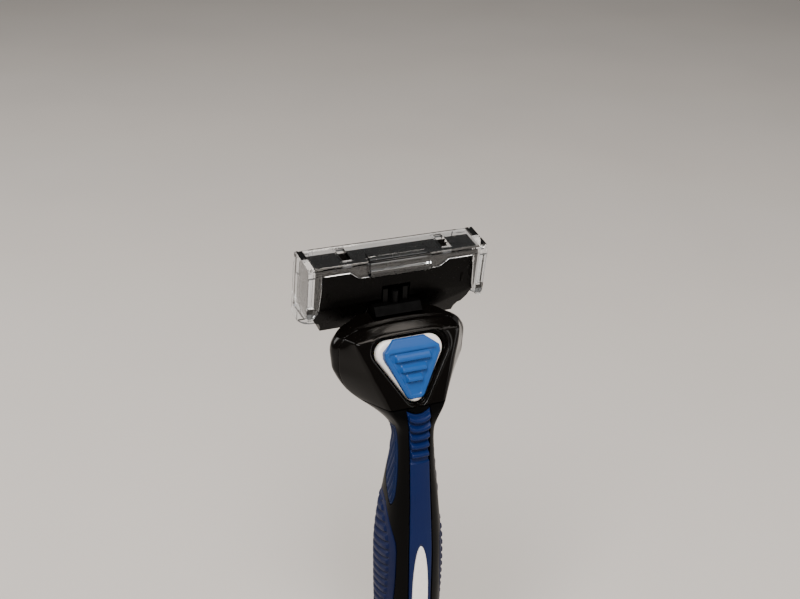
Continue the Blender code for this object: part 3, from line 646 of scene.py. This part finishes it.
# Edges of the side leaves and of the rear grip, as rows of height and Y.
LEAF_TOP, LEAF_BOTTOM = 2.5, -18.3
LEAF_FRONT = [
    (-18.4, -2.3), (-17.6, -2.75), (-15.3, -3.1), (-10.3, -2.75), (-6.4, -2.3), (-4.1, -2.0),
    (-1.3, -1.5), (2.5, -1.2),
]
LEAF_REAR = [
    (-18.4, -2.1), (-17.4, -1.2), (-15.8, 0.0), (-13.0, 1.9), (-8.0, 2.9), (-2.0, 3.0),
    (2.5, 2.3),
]
REAR_EDGE = [
    (-92.0, 3.4), (-88.0, 1.2), (-82.0, -1.4), (-70.0, -3.4), (-56.0, -5.0), (-44.0, -5.7),
    (-35.6, -5.8), (-28.4, -5.2), (-24.1, -3.3), (-20.5, -1.0), (-18.6, 0.6), (-17.3, 2.8),
    (-17.0, 4.2),
]
RIB_PITCH, RIB_FIRST = 2.15, -17.0


def eased(rows, z):
    return table(rows, z)[..., 0]


def make_handle():
    end_rows = np.linspace(-102.9, -100, 14)
    z = np.concatenate([end_rows, np.arange(-99.7, NECK_SEAM, 0.33)[:-1], [NECK_SEAM]])
    s = np.linspace(-HALF_ROUND, HALF_ROUND, 224, endpoint=False)
    grid_s, grid_z = np.meshgrid(s, z)
    base = skin(grid_s, grid_z)
    normal = skin_normal(grid_s, grid_z)
    x, y = base[..., 0], base[..., 1]
    front = y < 0
    strip_top = STRIP_TOP + INLAY_GAP + STRIP_ARCH * (x / 2.9) ** 2
    lower = np.where(front & (np.abs(x) < strip_half(grid_z) + INLAY_GAP), 1.0, 0.0)
    lower *= (grid_z > -79.4) & (grid_z < strip_top)
    leaf = (np.abs(x) > 3.0) & (y > eased(LEAF_FRONT, grid_z) - INLAY_GAP)
    leaf &= y < eased(LEAF_REAR, grid_z) + INLAY_GAP
    leaf &= (grid_z > LEAF_BOTTOM - INLAY_GAP) & (grid_z < LEAF_TOP + INLAY_GAP)
    rear = (y > eased(REAR_EDGE, grid_z) - INLAY_GAP) & (grid_z < -16.9) & (grid_z > -92.1)
    lower = np.maximum(lower, np.maximum(leaf * 1.0, rear * 1.0))
    rings = base - normal * (lower * INLAY_DEPTH)[..., None]
    rings[..., 2] = grid_z
    piece = tube_solid("handle_shell", rings)
    hole = [(x * 1.05, h * 1.02 - 0.25) for x, h in rounded(BUTTON_OUTLINE, BUTTON_RADII)]
    carve(piece, cuts=[prism(hole, 0.35, 4.5, "Y", BUTTON)], sharp=40.0)
    dress(piece, SATIN_BLACK, "black_satin_plastic", "handle", "handle_core")


def make_front_strip():
    z = np.linspace(STRIP_BOTTOM, STRIP_TOP, 540)
    s = s_at_x(z, strip_half(z))

    def height(points, inset, row):
        x, zz = points[..., 0], points[..., 2]
        rise = 0.05 - 0.35 * smoothstep(-6.6, -6.2, row)
        for level, length in NECK_RIBS:
            across = np.clip(1 - ((row - level + 0.35) / 0.78) ** 2, 0, 1) ** 0.6
            rise = rise + 1.0 * across * smoothstep(length + 0.05, length - 0.45, np.abs(x))
        return rise - 0.5 * smoothstep(0.15, -0.1, badge_distance(x, zz))

    piece = patch("front_strip", z, -s, s, 49, height, 0.55, 0.3, STRIP_ARCH)
    dress(piece, STRIP_BLUE, "blue_elastomer", "handle", "front_grip_strip")


def make_badge():
    angle = np.linspace(0.02, pi - 0.02, 120)
    z = BADGE_MIDDLE - BADGE_HALF_LENGTH * np.cos(angle)
    s = s_at_x(z, badge_half(z))

    def height(points, inset, row):
        return np.full(inset.shape, 0.14)

    piece = patch("plain_oval", z, -s, s, 31, height, 0.3, 0.3)
    dress(piece, WHITE, "white_plastic", "handle", "oval_badge")


def make_leaves():
    tip_rows = np.linspace(LEAF_BOTTOM, -16, 16)
    z = np.concatenate([tip_rows, np.arange(-15.85, LEAF_TOP, 0.17), [LEAF_TOP]])
    low, high = s_at_y(z, eased(LEAF_FRONT, z)), s_at_y(z, eased(LEAF_REAR, z))

    def height(points, inset, row):
        y, zz = points[..., 1], points[..., 2]
        slant = (y + 0.30 * (zz + 8.0)) / 1.35
        ridge = np.abs(np.sin(pi * slant)) ** 0.7
        sunk = 0.25 * smoothstep(0.35, 0.6, inset)
        return 0.05 - sunk + 0.42 * ridge * smoothstep(0.45, 0.9, inset)

    for side, name in ((-1, "side_grip_left"), (1, "side_grip_right")):
        ends = (low, high) if side > 0 else (-high, -low)
        piece = patch(name + "_ribbed", z, ends[0], ends[1], 45, height, 0.55, 0.3)
        dress(piece, LEAF_BLUE_WITH_PAINTED_SHADE, "blue_elastomer", "handle", name)


def make_rear_grip():
    z = np.arange(-91.9, -16.95, 0.17)
    low = s_at_y(z, eased(REAR_EDGE, z))

    def height(points, inset, row):
        droop = 0.38 * inset - 0.012 * inset**2
        phase = ((row + droop - RIB_FIRST) / RIB_PITCH) % 1.0
        rib = smoothstep(0.02, 0.26, phase) * smoothstep(1.0, 0.62, phase)
        reach = smoothstep(2.0, 2.5, inset)
        return 0.05 + (0.70 * rib - 0.30) * reach

    piece = patch("rear_grip_ribbed", z, low, ROUND - low, 151, height, 0.55, 0.35)
    dress(piece, REAR_BLUE_WITH_PAINTED_SHADE, "blue_elastomer", "handle", "rear_grip")


# ---------------------------------------------------------------- head
BUTTON_OUTLINE = [(-11.0, 14.9), (0.0, -2.4), (11.0, 14.9)]
BUTTON_RADII = [3.2, 2.4, 3.2]
RECESS_OUTLINE = [(-12.3, 15.7), (0.0, -3.9), (12.3, 15.7)]
RECESS_RADII = [3.2, 3.0, 3.2]


def make_head_shell():
    top = BAND_START + (HEAD_TOP - BAND_START) * 0.74
    z = np.arange(NECK_SEAM + GAP, top, 0.14)
    edge = s_at_y(z, np.full(z.shape, HEAD_SPLIT_Y))
    t = np.linspace(-1, 1, 241)[None, :]
    s = edge[:, None] * t
    grid_z = np.broadcast_to(z[:, None], s.shape)
    points = skin(s, grid_z)
    turn = np.array(BUTTON.inverted())
    local = points @ turn[:3, :3].T + turn[:3, 3]
    recess = distance_to(rounded(RECESS_OUTLINE, RECESS_RADII), local[..., 0], local[..., 2])
    hole = [(x * 1.045, h * 1.02 - 0.2) for x, h in BUTTON_OUTLINE]
    well = distance_to(rounded(hole, BUTTON_RADII), local[..., 0], local[..., 2])
    floor = 0.55 + 2.6 * smoothstep(0.12, -0.08, well)
    share = smoothstep(0.22, -0.22, recess)
    lip = 0.10 * np.exp(-((recess - 0.45) / 0.28) ** 2)
    local[..., 1] = local[..., 1] * (1 - share) + floor * share - lip
    back = np.array(BUTTON)
    outer = local @ back[:3, :3].T + back[:3, 3]
    outer[..., 1] = np.minimum(outer[..., 1], HEAD_SPLIT_Y)
    outer = arched(outer)
    inner = outer.copy()
    inner[..., 1] = np.minimum(inner[..., 1] + 0.9, HEAD_SPLIT_Y + 0.2)
    piece = sheet_solid("head_front", outer, inner, sharp=50.0)
    room = [(x * 0.86, h * 0.90 + 0.7) for x, h in rounded(BUTTON_OUTLINE, BUTTON_RADII)]
    carve(piece, cuts=[prism(room, 2.2, 14.0, "Y", BUTTON)], sharp=50.0)
    dress(piece, GLOSS_BLACK, "black_gloss_plastic", "handle", "head_shell")


def make_head_back():
    z = np.concatenate([np.arange(NECK_SEAM + GAP, 24.9, 0.2), np.linspace(24.9, HEAD_TOP, 6)])
    s = np.linspace(-HALF_ROUND, HALF_ROUND, 200, endpoint=False)
    grid_s, grid_z = np.meshgrid(s, z)
    rings = skin(grid_s, grid_z)
    rings[..., 1] = np.maximum(rings[..., 1], HEAD_SPLIT_Y + GAP)
    centre = np.array([0.0, 11.5])
    shrink = edge_drop(HEAD_TOP - z, 0.5)
    rings[..., :2] += (centre - rings[..., :2]) * (shrink / 10.0)[:, None, None]
    piece = tube_solid("head_back", arched(rings), sharp=50.0)
    opening = block((-6.1, 9.6, 21.0), (6.1, 14.9, 30.0))
    carve(piece, cuts=[opening], sharp=50.0)
    dress(piece, GLOSS_BLACK, "black_gloss_plastic", "handle", "head_back_cover")


# ---------------------------------------------------------------- button
def make_button():
    outline = rounded(BUTTON_OUTLINE, BUTTON_RADII)

    def crown(x, h, inset):
        return 0.42 - edge_drop(inset, 0.95)

    plate = relief("release_plate", outline, (0.0, 9.0), crown, 1.3, BUTTON)
    legs = [block((x - 0.6, 1.1, 7.0), (x + 0.6, 4.2, 9.4), BUTTON) for x in (-5.0, 5.0)]
    carve(plate, joins=legs, sharp=45.0)
    dress(plate, WHITE, "white_plastic", "button", "release_button")

    face = [(-4.0, 14.9), (-6.9, 12.3), (-7.0, 10.8), (-1.9, 0.35),
            (1.9, 0.35), (7.0, 10.8), (6.9, 12.3), (4.0, 14.9)]
    outline = rounded(face, [0.5, 0.6, 0.9, 1.8, 1.8, 0.9, 0.6, 0.5], 6)

    def wedge(x, h, inset):
        front = 0.55 + 1.75 * (h - 0.3) / 11.9
        roof = 2.3 - 1.75 * (h - 12.35) / 2.45
        rise = -np.log(np.exp(-front * 6) + np.exp(-roof * 6)) / 6
        panel = smoothstep(0.85, 1.5, inset) * smoothstep(12.0, 11.4, h)
        rise = np.maximum(rise - 0.42 * panel, 0.5)
        for level, half in ((10.3, 4.3), (7.7, 3.1), (5.3, 1.9)):
            tread = smoothstep(level - 0.95, level - 0.55, h)
            tread = tread * smoothstep(level + 1.35, level - 0.25, h)
            rise = rise + 1.05 * tread * smoothstep(half + 0.4, half - 0.3, np.abs(x))
        return rise - edge_drop(inset, 0.5)

    pad = relief("thumb_pad", outline, (0.0, 8.6), wedge, -0.12, BUTTON, 260, 90)
    dress(pad, PAD_BLUE, "blue_button_pad", "button", "button_pad")


# ---------------------------------------------------------------- connector
def make_connector():
    side = [(9.9, HEAD_TOP + GAP), (11.4, 27.6), (15.7, 27.6), (15.7, HEAD_TOP + GAP)]
    yoke = prism(side, -5.9, 5.9, "X")
    x, y, z = PIVOT
    joins, cuts = [], []
    for low, high in ((-3.1, -1.9), (1.9, 3.1)):
        joins.append(block((low, 12.7, 27.3), (high, y + 1.7, z + 1.0)))
        joins.append(rod(1.7, (low, y, z), (high, y, z)))
        cuts.append(rod(1.1, (low - 1, y, z), (high + 1, y, z)))
    cuts.append(block((-4.2, 11.2, 24.0), (4.2, 14.8, 27.1)))
    cuts.append(rod(1.2, (0, 13.0, 24.0), (0, 13.0, 29.5)))
    carve(yoke, cuts, joins, bevel=0.18, sharp=40.0)
    yoke.name = "connector_moulding"
    dress(yoke, YOKE_BLACK, "black_satin_plastic", "connector", "connector_yoke")


def make_spring(name, radius, wire, start, end, turns, matrix=WORLD):
    """A coil between the handle and a moving body, wound closer at both ends."""
    start, end = matrix @ Vector(start), matrix @ Vector(end)
    along = end - start
    turn = along.to_track_quat("Z", "Y")
    upward = turn @ Vector((0.0, 0.0, 1.0))
    steps = turns * 24
    first = along.length * float(smoothstep(-0.06, 1.06, 0.0))
    rings = []
    for index in range(steps + 1):
        angle = 2 * pi * index / 24
        rise = along.length * smoothstep(-0.06, 1.06, index / steps)
        outward = turn @ Vector((cos(angle), sin(angle), 0.0))
        middle = start + outward * radius + upward * (float(rise) - first)
        ring = []
        for k in range(10):
            around = 2 * pi * k / 10
            point = middle + outward * (wire * cos(around)) + upward * (wire * sin(around))
            ring.append(tuple(point))
        rings.append(ring)
    piece = tube_solid(name + "_coil", np.array(rings), sharp=60.0)
    piece.data.materials.append(WIRE)
    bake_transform(piece)
    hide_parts(name)


# ---------------------------------------------------------------- cartridge
HOUSING_HALF = 20.3
HOUSING_BACK, HOUSING_FACE = -2.3, 5.2
HOUSING_GUARD, HOUSING_CAP = -9.9, 9.0
BLADE_FIRST, BLADE_PITCH, BLADE_HALF = 2.15, 1.75, 17.0


def make_housing():
    m = CARTRIDGE
    profile = [
        (HOUSING_BACK + 0.5, HOUSING_CAP), (HOUSING_BACK, HOUSING_CAP - 0.5),
        (HOUSING_BACK, -1.2), (1.2, HOUSING_GUARD), (HOUSING_FACE - 0.4, HOUSING_GUARD),
        (HOUSING_FACE, HOUSING_GUARD + 0.8), (HOUSING_FACE, HOUSING_CAP - 1.5),
        (HOUSING_FACE - 1.2, HOUSING_CAP),
    ]
    half = [(20.8, 10.0), (20.8, -2.0), (20.2, -2.8), (19.8, -4.8), (18.8, -6.8), (17.9, -7.2),
            (17.3, -8.4), (17.0, -11)]
    outline = half + [(-x, v) for x, v in reversed(half)]
    housing = prism(profile, -HOUSING_HALF, HOUSING_HALF, "X", m)
    blade_low = BLADE_FIRST - BLADE_PITCH * 5 + 0.6
    cuts = [block((-3.5, -4, -14), (3.5, 2.1, 2.4), m),
            block((-6.3, -4, -14), (6.3, 2.1, -1.2), m),
            block((-17.6, 3.0, blade_low), (17.6, 6, BLADE_FIRST + 1.4), m),
            block((-18.0, 4.0, 3.95), (18.0, 6, 7.15), m),
            block((-16.8, 4.0, -9.75), (16.8, 6, -6.85), m)]
    for side in (-1, 1):
        low, high = sorted((side * 18.9, side * 20.9))
        cuts.append(block((low, 3.9, -4.0), (high, 6, 3.7), m))
        cuts.append(rod(0.95, (side * 3.0, 0, 0), (side * 5.7, 0, 0), m))
    joins = [block((-1.3, HOUSING_BACK, 1.0), (1.3, -0.9, 3.0), m)]
    for x in (-16.9, 16.9):
        low, high = (x - 0.3, HOUSING_BACK - 0.3, 0.6), (x + 0.3, HOUSING_BACK + 0.2, 2.8)
        joins.append(block(low, high, m))
    keeps = [prism(outline, -5.0, 7.0, "Y", m)]
    carve(housing, cuts, joins, keeps, bevel=0.22, sharp=40.0)
    housing.name = "cartridge_moulding"
    dress(housing, HOUSING_BLACK, "black_gloss_plastic", "cartridge", "cartridge_housing")


def make_strips():
    m = CARTRIDGE
    gel = block((-17.7, 4.3, 4.25), (17.7, 5.5, 6.85), m)
    carve(gel, bevel=0.3, segments=3)
    gel.name = "gel_strip_soft"
    dress(gel, BLUE_STRIP, "blue_gel_strip", "cartridge", "gel_strip")
    lube = block((-16.5, 4.3, -9.45), (16.5, 5.5, -7.15), m)
    carve(lube, bevel=0.3, segments=3)
    lube.name = "lubricating_strip_soft"
    dress(lube, GREEN_STRIP, "green_lubricating_strip", "cartridge", "lubricating_strip")
    for number in range(5):
        edge = BLADE_FIRST - BLADE_PITCH * number
        profile = [(3.35, edge + 0.72), (4.6, edge - 0.02), (5.12, edge - 0.24),
                   (5.25, edge - 0.12), (4.7, edge + 0.25), (3.35, edge + 1.05)]
        blade = prism(profile, -BLADE_HALF, BLADE_HALF, "X", m)
        middle = edge + 0.3
        holes = [rod(0.22, (x, 3.2, middle), (x, 5.0, middle), m, 12) for x in (-14, 14)]
        carve(blade, cuts=holes, bevel=0.03, segments=1, sharp=25.0)
        blade.name = f"blade_{number + 1}_ground"
        dress(blade, STEEL, "blade_steel", "cartridge", f"blade_{number + 1}")
    for side, name in ((-1, "end_cap_left"), (1, "end_cap_right")):
        low, high = sorted((side * 19.2, side * 20.3))
        cap = block((low, 4.2, -3.7), (high, 5.4, 3.4), m)
        carve(cap, bevel=0.35, segments=3)
        cap.name = name + "_rounded"
        dress(cap, INNER_BLACK, "black_satin_plastic", "cartridge", name)


# ---------------------------------------------------------------- cover
COVER_HALF, COVER_WALL = 22.3, 0.8
COVER_BACK, COVER_ROOF = -3.3, 6.7
COVER_GUARD, COVER_CAP = -11.0, 10.1


def make_cover():
    m = CARTRIDGE
    back, roof, cap, wall = COVER_BACK, COVER_ROOF, COVER_CAP, COVER_WALL
    section = [
        (roof, COVER_GUARD), (roof, cap - 1.0), (roof - 1.0, cap), (back + 1.0, cap),
        (back + 0.3, cap - 0.3), (back, cap - 1.0), (back, 5.8), (back + 0.6, 5.8),
        (back + 0.6, cap - wall), (roof - wall, cap - wall), (roof - wall, COVER_GUARD),
    ]
    cover = prism(section, -HOUSING_HALF - 0.8, HOUSING_HALF + 0.8, "X", m)
    flange_cut = [(-19.0, 4.0), (-19.0, 8.0), (-12.3, 8.0), (-9.9, 6.2),
                  (9.9, 6.2), (12.3, 8.0), (19.0, 8.0), (19.0, 4.0)]
    cuts = [prism(flange_cut, -5.0, -1.0, "Y", m)]
    proud = 0.05
    ear = [
        (back - proud, cap - 0.8), (back - proud, -1.8), (-2.5, -3.2), (-0.5, -4.0),
        (2.5, -4.2), (5.0, -4.6), (roof + proud, -3.8), (roof + proud, cap - 1.0),
        (roof - 1.0, cap + proud), (back + 0.8, cap + proud),
    ]
    flap = [
        (19.0, 8.3), (19.6, -0.7), (20.0, -1.9), (20.6, -2.8), (21.3, -3.3), (21.9, -3.1),
        (COVER_HALF, -2.3), (COVER_HALF + proud, -1.3), (COVER_HALF + proud, 8.3),
    ]
    arc = [radians(angle) for angle in range(0, 91, 9)]
    corner = [(COVER_HALF + 2, -6.0)] + [(17.3 + 5 * cos(a), -6.0 - 5 * sin(a)) for a in arc]
    corner += [(17.3, COVER_GUARD - 2), (COVER_HALF + 2, COVER_GUARD - 2)]
    joins = []
    for side in (-1, 1):
        low, high = sorted((side * (HOUSING_HALF + GAP), side * COVER_HALF))
        joins.append(prism(ear, low, high, "X", m))
        joins.append(prism([(side * x, v) for x, v in flap], back - 0.1, back + 0.65, "Y", m))
        cuts.append(prism([(side * x, v) for x, v in corner], 4.0, 9.0, "Y", m))
        cuts.append(block((low - 1, 3.8, -3.0), (high + 1, 5.0, 5.0), m))
        low, high = side * 12.4 - 1.1, side * 12.4 + 1.1
        rim_low, rim_high = (low - 0.35, -1.55, cap - 0.5), (high + 0.35, 4.75, cap + 0.18)
        joins.append(block(rim_low, rim_high, m))
        cuts.append(block((low, -1.2, cap - 2), (high, 4.4, cap + 2), m))
        low, high = sorted((side * 17.8, side * (COVER_HALF - 0.2)))
        joins.append(block((low, roof - 0.4, COVER_GUARD + 0.1), (high, roof + 0.8, cap - 1.2), m))
        low, high = sorted((side * 18.8, side * 21.3))
        cuts.append(block((low, roof + 0.2, COVER_GUARD + 1.2), (high, roof + 3.0, cap - 2.2), m))
    tab = [
        (0.0, cap - 0.2), (0.0, cap + 0.3), (-0.2, cap + 0.5), (-2.9, cap + 0.5), (-3.6, cap),
        (-3.75, 8.4), (-4.2, 8.15), (-4.35, 6.7), (-4.0, 6.3), (-2.9, 6.3), (-2.9, cap - 0.2),
    ]
    joins.append(prism(tab, -7.5, 7.5, "X", m))
    half = [(22.0, -3.1), (21.3, -3.25), (20.6, -2.8), (20.0, -1.9), (19.6, -0.7), (19.0, 7.1),
            (18.2, 8.0), (12.4, 8.0), (10.1, 6.2)]
    lip = [(-x, v) for x, v in half] + list(reversed(half))
    joins.append(bead(lip, back + 0.02, 0.24, m))
    carve(cover, cuts, joins, bevel=0.2, segments=2, sharp=40.0, limit=25.0)
    cover.name = "clear_cover_moulding"
    dress(cover, CLEAR, "clear_plastic", "cover", "clear_cover")


make_handle()
make_front_strip()
make_badge()
make_leaves()
make_rear_grip()
make_head_shell()
make_head_back()
make_button()
make_connector()
make_spring("plunger_spring", 0.95, 0.18, (0, 13.0, 15.1), (0, 13.0, 19.4), 6)
make_spring("button_spring", 1.5, 0.22, (0, 6.4, 8.0), (0, 1.75, 8.0), 4, BUTTON)
make_housing()
make_strips()
make_cover()

# Pieces kept as the CAD has them.
CARRIED_OVER = {
    "docking_nose": SATIN_BLACK, "ejector_fork": INNER_BLACK, "return_plunger": INNER_BLACK,
    "pivot_pin_left": WIRE, "pivot_pin_right": WIRE,
}
for name, material in CARRIED_OVER.items():
    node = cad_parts[name]
    for entry in node.material_slots:
        entry.material = material


# ---------------------------------------------------------------- floor, lights and camera
FLOOR_HEIGHT, FLOOR_HALF = -0.1033, 3.0


def make_floor():
    build = bmesh.new()
    level = Matrix.Translation((0, 0, FLOOR_HEIGHT))
    bmesh.ops.create_grid(build, x_segments=8, y_segments=8, size=FLOOR_HALF, matrix=level)
    mesh = bpy.data.meshes.new("floor")
    build.to_mesh(mesh)
    build.free()
    floor = new_object("floor", mesh)
    floor.data.materials.append(surface(
        "pale_floor", (0.63, 0.59, 0.555), (0.61, 0.57, 0.535), 0.75, 400.0, 0.05, patches=2.0))


def area_light(name, location, target, size, power, colour=(1.0, 0.98, 0.95)):
    data = bpy.data.lights.new(name, "AREA")
    data.shape = "RECTANGLE"
    data.size, data.size_y = size
    data.energy = power
    data.color = colour
    light = bpy.data.objects.new(name, data)
    light.location = location
    aim = Vector(target) - Vector(location)
    light.rotation_euler = aim.to_track_quat("-Z", "Y").to_euler()
    bpy.context.scene.collection.objects.link(light)


def make_studio():
    area_light("key", (-0.25, -0.38, 0.69), (0, 0, 0), (0.5, 0.35), 11.0)
    area_light("fill", (0.6, -0.4, 0.25), (0, 0, -0.02), (0.5, 0.5), 2.4)
    area_light("back", (-0.55, 0.45, 0.30), (0, 0, 0), (0.35, 0.35), 2.5)
    area_light("overhead", (0.30, 0.16, 0.75), (0, 0, 0.02), (0.35, 0.35), 0.9,
               (1.0, 0.92, 0.84))
    area_light("small_panel", (0.19, 0.13, 0.75), (0, 0, 0.02), (0.20, 0.24), 0.8,
               (1.0, 0.90, 0.80))
    world = bpy.data.worlds.new("studio")
    world.use_nodes = True
    background = world.node_tree.nodes["Background"]
    background.inputs["Color"].default_value = (0.80, 0.79, 0.77, 1.0)
    background.inputs["Strength"].default_value = 0.21
    bpy.context.scene.world = world


CAMERA_PLACE = (-0.1067, -0.2285, 0.155)
CAMERA_RIGHT = (0.91801, -0.39549, 0.02918)
CAMERA_UP = (0.14741, 0.40861, 0.90073)
CAMERA_BACK = (-0.36815, -0.82257, 0.43341)
CAMERA_LENS = 56.25


def make_camera():
    data = bpy.data.cameras.new("camera")
    data.lens = CAMERA_LENS
    data.sensor_width = 36.0
    data.clip_start = 0.01
    camera = bpy.data.objects.new("camera", data)
    turn = Matrix((CAMERA_RIGHT, CAMERA_UP, CAMERA_BACK)).transposed().to_4x4()
    camera.matrix_world = Matrix.Translation(CAMERA_PLACE) @ turn
    bpy.context.scene.collection.objects.link(camera)
    bpy.context.scene.camera = camera


make_floor()
make_studio()
make_camera()
